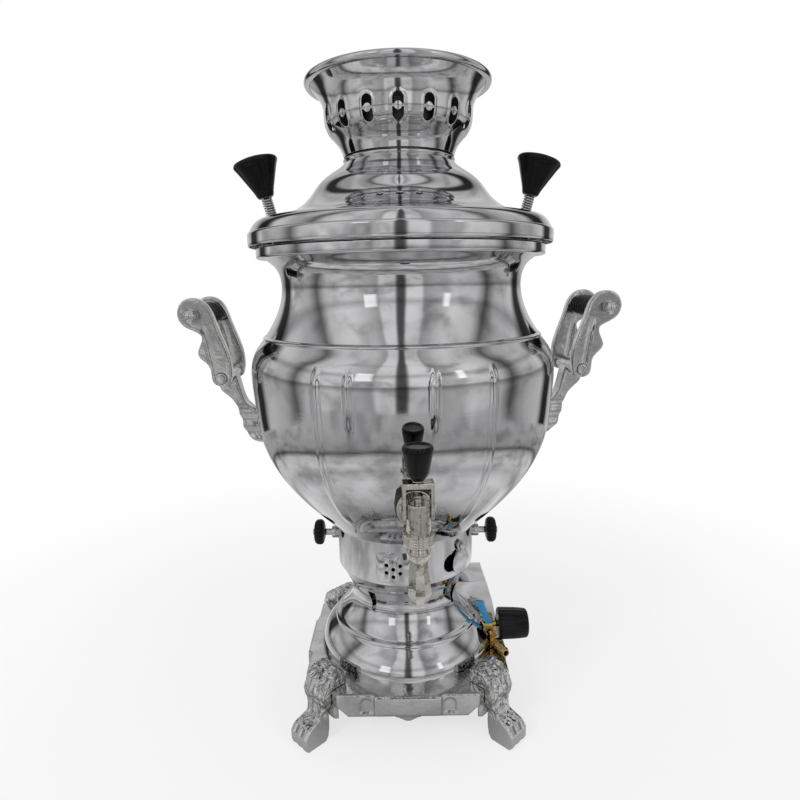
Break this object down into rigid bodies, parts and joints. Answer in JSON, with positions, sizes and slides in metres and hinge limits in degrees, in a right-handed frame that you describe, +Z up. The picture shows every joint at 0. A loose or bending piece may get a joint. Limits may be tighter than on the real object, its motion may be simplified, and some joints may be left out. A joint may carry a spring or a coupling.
{
  "type": "samovar",
  "caption": "Gas-heated samovar: footed stand with burner and gas valve, lift-off urn with flue, lever tap and scroll handles, a lid with knobs and a pierced crown for a teapot.",
  "frame": {"origin": "on the floor, under the axis of the pedestal and the urn", "axes": "+Z up along the urn's axis, -Y towards the tap and the viewer, +X towards the gas knob"},
  "size_m": [0.3652, 0.2862, 0.5356],
  "materials": {
    "polished_sheet": "bright chrome plate on spun sheet",
    "cast_plated": "chrome plate on a soft-edged casting",
    "tap_plated": "slightly warm nickel-chrome plate",
    "black_phenolic": "glossy black moulded phenolic",
    "plain_brass": "turned brass",
    "dark_rubber": "dark rubber",
    "blue_tag": "plain blue plastic",
    "burner_iron": "dark heat-stained iron",
    "steel_fixing": "bright zinc-plated steel"
  },
  "bodies": {
    "stand": {"foot_frame": "cast_plated", "leg_rear_right": "cast_plated", "leg_rear_left": "cast_plated", "leg_front_left": "cast_plated", "leg_front_right": "cast_plated", "base_screws": "steel_fixing", "pedestal_bell": "polished_sheet", "burner_housing": "polished_sheet", "vent_plate": "polished_sheet", "ignition_rivet": "steel_fixing", "thumb_nuts": "steel_fixing", "burner_head": "burner_iron", "burner_cap": "burner_iron", "gas_pipe": "plain_brass", "burner_nut": "steel_fixing", "gas_valve": "plain_brass", "hose_barb": "plain_brass", "valve_guard": "polished_sheet", "valve_tag": "blue_tag"},
    "gas_control": {"valve_stem": "plain_brass", "valve_knob": "black_phenolic"},
    "ignition_cover": {"ignition_cover": "polished_sheet"},
    "right_thumb_stud": {"right_thumb_stud": "steel_fixing"},
    "right_thumb_knob": {"right_thumb_knob": "black_phenolic"},
    "left_thumb_stud": {"left_thumb_stud": "steel_fixing"},
    "left_thumb_knob": {"left_thumb_knob": "black_phenolic"},
    "urn": {"urn_shell": "polished_sheet", "urn_neck": "polished_sheet", "urn_foot_ring": "polished_sheet", "tank_floor": "polished_sheet", "flue_tube": "polished_sheet", "mouth_ring": "polished_sheet", "tap_gasket": "dark_rubber", "tap_body": "tap_plated", "tap_nut": "tap_plated", "tap_nozzle": "tap_plated", "tap_locknut": "tap_plated", "tap_pin": "tap_plated", "grip_bolts": "steel_fixing", "handle_screws": "steel_fixing", "right_front_arm": "cast_plated", "right_rear_arm": "cast_plated", "right_handle_stem": "cast_plated", "right_grip": "black_phenolic", "left_front_arm": "cast_plated", "left_rear_arm": "cast_plated", "left_handle_stem": "cast_plated", "left_grip": "black_phenolic"},
    "tap_spindle": {"tap_stem": "tap_plated"},
    "tap_handle": {"tap_lever": "tap_plated", "tap_knob": "black_phenolic"},
    "lid": {"lid_cover": "polished_sheet", "lid_band": "polished_sheet", "lid_knob_fixings": "steel_fixing", "left_lid_spring": "steel_fixing", "right_lid_spring": "steel_fixing", "left_lid_knob": "black_phenolic", "right_lid_knob": "black_phenolic"},
    "crown": {"crown": "polished_sheet", "crown_rim": "polished_sheet"}
  },
  "joints": [
    {"name": "gas_knob_turn", "type": "hinge", "parent": "stand", "child": "gas_control", "pos_m": [0.085, -0.012, 0.063], "axis": [1, 0, 0], "range_deg": [0, 270]},
    {"name": "ignition_cover_swing", "type": "hinge", "parent": "stand", "child": "ignition_cover", "pos_m": [0.04793, -0.04241, 0.1555], "axis": [0.749, -0.6626, 0], "range_deg": [-37, 80]},
    {"name": "right_thumb_out", "type": "slide", "parent": "stand", "child": "right_thumb_stud", "axis": [1, 0, 0], "range_m": [0, 0.0038]},
    {"name": "right_thumb_turn", "type": "hinge", "parent": "right_thumb_stud", "child": "right_thumb_knob", "pos_m": [0.079, 0, 0.1515], "axis": [1, 0, 0], "range_deg": [0, 1080]},
    {"name": "left_thumb_out", "type": "slide", "parent": "stand", "child": "left_thumb_stud", "axis": [-1, 0, 0], "range_m": [0, 0.0038]},
    {"name": "left_thumb_turn", "type": "hinge", "parent": "left_thumb_stud", "child": "left_thumb_knob", "pos_m": [-0.079, 0, 0.1515], "axis": [-1, 0, 0], "range_deg": [0, 1080]},
    {"name": "urn_lift", "type": "slide", "parent": "stand", "child": "urn", "axis": [0, 0, 1], "range_m": [0, 0.12]},
    {"name": "tap_lever_tilt", "type": "hinge", "parent": "urn", "child": "tap_handle", "pos_m": [0.00867, -0.14173, 0.229], "axis": [0.9981, 0.061, 0], "range_deg": [0, 60]},
    {"name": "tap_spindle_lift", "type": "slide", "parent": "urn", "child": "tap_spindle", "axis": [0, 0, 1], "range_m": [0, 0.003]},
    {"name": "lid_lift", "type": "slide", "parent": "urn", "child": "lid", "axis": [0, 0, 1], "range_m": [0, 0.12]},
    {"name": "crown_lift", "type": "slide", "parent": "lid", "child": "crown", "axis": [0, 0, 1], "range_m": [0, 0.1]}
  ],
  "couplings": [
    {"joint": "right_thumb_out", "follows": "right_thumb_turn", "m_per_rad": 0.00019894},
    {"joint": "left_thumb_out", "follows": "left_thumb_turn", "m_per_rad": 0.00019894},
    {"joint": "tap_spindle_lift", "follows": "tap_lever_tilt", "m_per_rad": 0.0027693}
  ]
}
